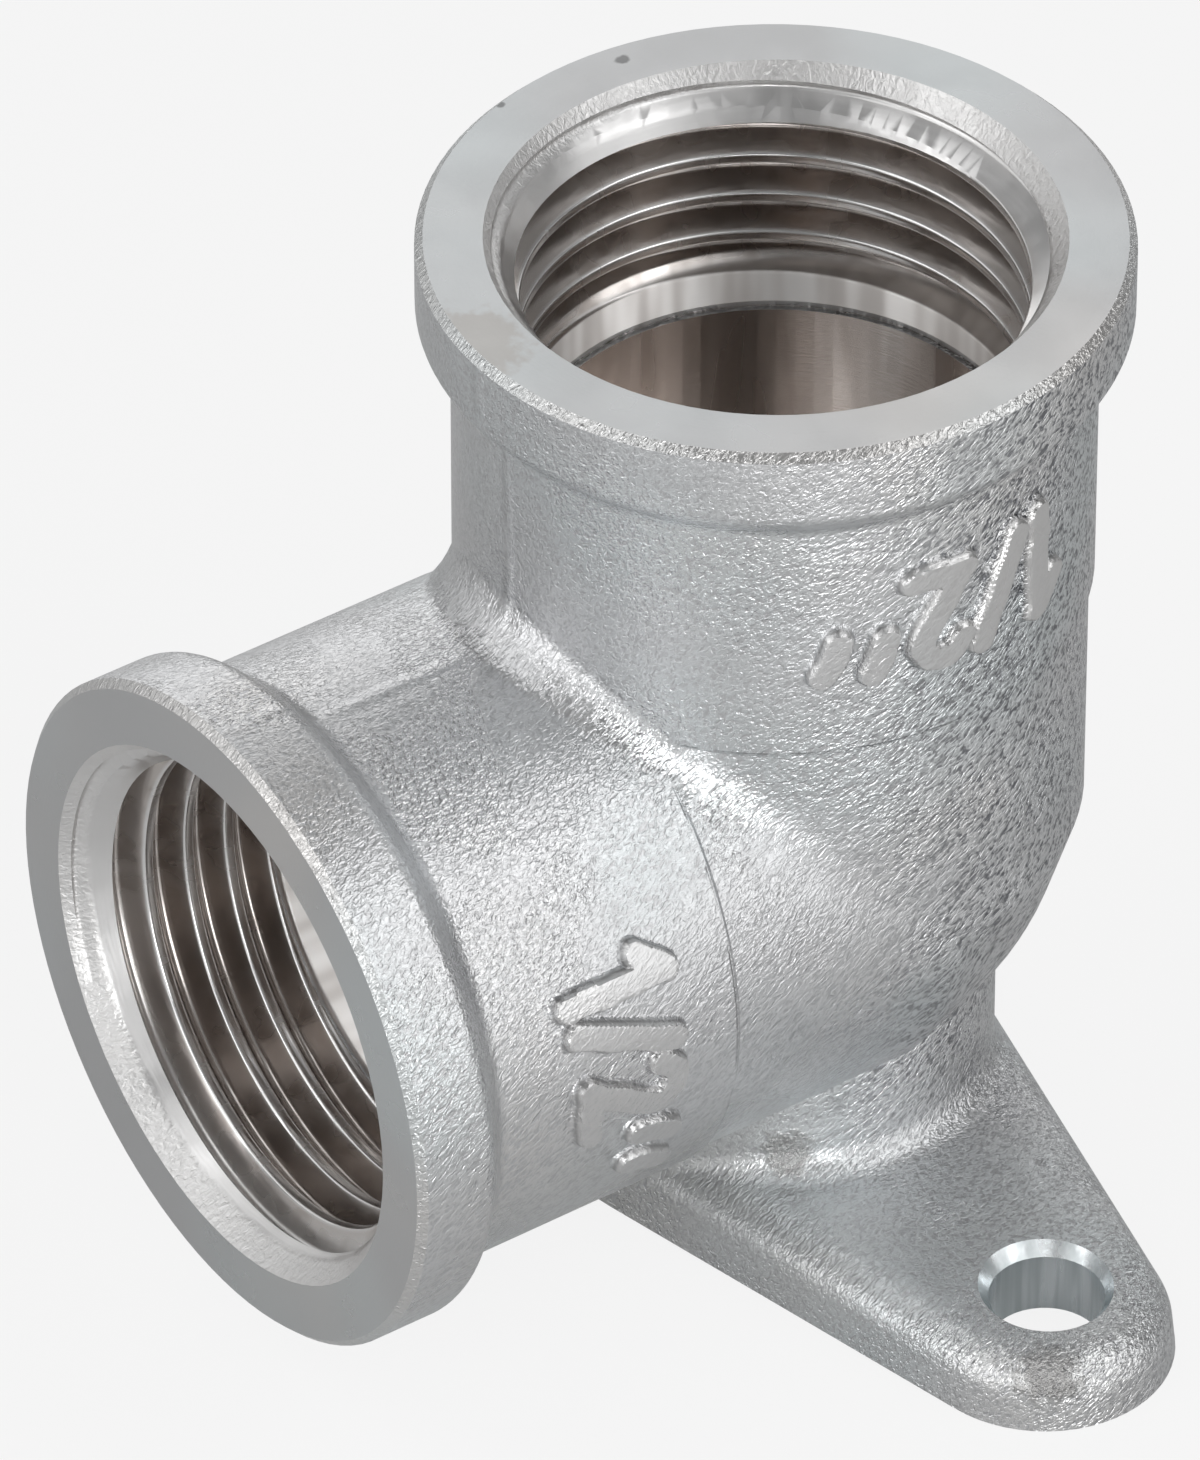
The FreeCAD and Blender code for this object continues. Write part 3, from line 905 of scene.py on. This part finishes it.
# Softboxes round the object: bearing and height in degrees, distance and width in metres, and brightness
LAMPS = {
    "left_low": (-10, 12, 0.6, 0.4, 1.6),
    "right_low": (135, 12, 0.6, 0.16, 1.5),
    "back_low": (205, 12, 0.6, 0.2, 1.4),
    "back_left_low": (252, 10, 0.6, 0.3, 1.25),
    "left_back_low": (-65, 12, 0.6, 0.36, 0.5),
    "left_high": (-40, 40, 0.6, 0.36, 0.65),
    "right_high": (130, 42, 0.6, 0.3, 1.4),
    "back_high": (235, 40, 0.6, 0.36, 0.74),
    "back_top": (170, 62, 0.6, 0.36, 0.25),
    "front_low": (64, 8, 0.17, 0.09, 3.5),
    "near_left_low": (18, 12, 0.17, 0.1, 0.7),
    "near_right_low": (105, 10, 0.17, 0.08, 1.5),
    "near_left": (-5, 55, 0.24, 0.12, 1.1),
    "near_right": (115, 55, 0.24, 0.12, 0.6),
    "right_middle": (105, 35, 0.6, 0.25, 0.5),
}
WORLD_STRENGTH = 0.2

# The floor: half its width, the gap under the object, its grey, and how much plain white takes the place of
# the lit floor where the camera or a reflection sees it
FLOOR_HALF = 2.0
FLOOR_GAP = 0.02 * MILLIMETRE
FLOOR_COLOUR = (0.66, 0.66, 0.66, 1)
SEEN_WHITE = 0.85
MIRRORED_WHITE = 0.05


def toward(bearing, height):
    """The direction from the object to what stands at a bearing and a height angle."""
    level = math.cos(height)
    return Vector((math.sin(bearing) * level, -math.cos(bearing) * level, math.sin(height)))


def area_lamp(name, azimuth, elevation, distance, width, brightness):
    """A square softbox that faces the object. Its power grows with its area, so the brightness holds."""
    data = bpy.data.lights.new(name, "AREA")
    data.size = width
    data.energy = math.pi * width * width * brightness
    lamp = bpy.data.objects.new(name, data)
    back = toward(math.radians(azimuth), math.radians(elevation))
    centre = Vector((0, 0, CAD_BOX[1].z / 2))
    turn = back.to_track_quat("Z", "Y").to_matrix().to_4x4()
    lamp.matrix_world = Matrix.Translation(centre + back * distance) @ turn
    lamp.visible_camera = False
    bpy.context.scene.collection.objects.link(lamp)


class ELBOW_OT_stage(bpy.types.Operator):
    """Lay the pale floor, hang the soft lamps and place the camera at the photograph's angle"""

    bl_idname = "elbow.stage"
    bl_label = "Stage"

    def execute(self, context):
        scene = context.scene
        stage = scene.elbow_stage
        corners = np.array([(-1, -1, 0), (1, -1, 0), (1, 1, 0), (-1, 1, 0)]) * FLOOR_HALF
        corners[:, 2] -= FLOOR_GAP
        floor = mesh_object("floor", corners, [[0, 1, 2, 3]])
        floor.data.materials.append(floor_material())
        for name, lamp in LAMPS.items():
            area_lamp(name, *lamp)
        world = bpy.data.worlds.new("studio")
        world.use_nodes = True
        background = world.node_tree.nodes["Background"]
        background.inputs["Color"].default_value = WHITE
        background.inputs["Strength"].default_value = WORLD_STRENGTH
        scene.world = world
        data = bpy.data.cameras.new("camera")
        data.lens = stage.lens
        data.sensor_width = 36
        data.clip_start = 0.01
        data.clip_end = 10
        camera = bpy.data.objects.new("camera", data)
        back = toward(stage.azimuth, stage.elevation)
        right = Vector((math.cos(stage.azimuth), math.sin(stage.azimuth), 0))
        turn = Matrix((right, back.cross(right), back)).transposed().to_4x4()
        camera.matrix_world = Matrix.Translation(Vector(stage.target) + back * stage.distance) @ turn
        scene.collection.objects.link(camera)
        scene.camera = camera
        scene.view_settings.view_transform = "Standard"
        return {"FINISHED"}


def floor_material():
    """A pale matt floor that looks nearly white to the camera and keeps some of the object's shadow."""
    material = bpy.data.materials.new("pale_floor")
    material.use_nodes = True
    tree = material.node_tree
    shader = tree.nodes["Principled BSDF"]
    shader.inputs["Base Color"].default_value = FLOOR_COLOUR
    shader.inputs["Roughness"].default_value = 0.9
    glow = tree.nodes.new("ShaderNodeEmission")
    glow.inputs["Color"].default_value = WHITE
    path = tree.nodes.new("ShaderNodeLightPath").outputs
    mix = tree.nodes.new("ShaderNodeMixShader")
    share = 0.0
    whites = {"Is Camera Ray": SEEN_WHITE, "Is Transmission Ray": SEEN_WHITE, "Is Glossy Ray": MIRRORED_WHITE}
    for ray, white in whites.items():
        share = worked_out(tree, "MAXIMUM", share, product(tree, path[ray], white))
    tree.links.new(share, mix.inputs["Fac"])
    tree.links.new(shader.outputs[0], mix.inputs[1])
    tree.links.new(glow.outputs[0], mix.inputs[2])
    tree.links.new(mix.outputs[0], tree.nodes["Material Output"].inputs["Surface"])
    return material


class ELBOW_PT_panel(bpy.types.Panel):
    """Sizes, finish and stage of the elbow, and the operators that make them"""

    bl_label = "Wall plate elbow"
    bl_idname = "ELBOW_PT_panel"
    bl_space_type = "VIEW_3D"
    bl_region_type = "UI"
    bl_category = "Elbow"

    def draw(self, context):
        for operator in OPERATORS:
            self.layout.operator(operator.bl_idname)
        for group_name in GROUPS:
            group = getattr(context.scene, group_name)
            box = self.layout.box()
            for size_name in group.bl_rna.properties.keys():
                if size_name not in ("rna_type", "name"):
                    box.prop(group, size_name)


OPERATORS = (ELBOW_OT_body, ELBOW_OT_stage)
GROUPS = {
    "elbow_threads": ThreadSizes,
    "elbow_marks": MarkSizes,
    "elbow_finish": FinishSettings,
    "elbow_stage": StageSettings,
}
CLASSES = (*GROUPS.values(), *OPERATORS, ELBOW_PT_panel)


def register():
    """Registers the classes and gives the scene its groups of settings."""
    for made in CLASSES:
        bpy.utils.register_class(made)
    for group_name, group in GROUPS.items():
        setattr(bpy.types.Scene, group_name, PointerProperty(type=group))


def unregister():
    """Takes back what register does."""
    for group_name in GROUPS:
        delattr(bpy.types.Scene, group_name)
    for made in reversed(CLASSES):
        bpy.utils.unregister_class(made)


def main():
    register()
    bpy.ops.elbow.body()
    bpy.ops.elbow.stage()


if __name__ == "__main__":
    main()
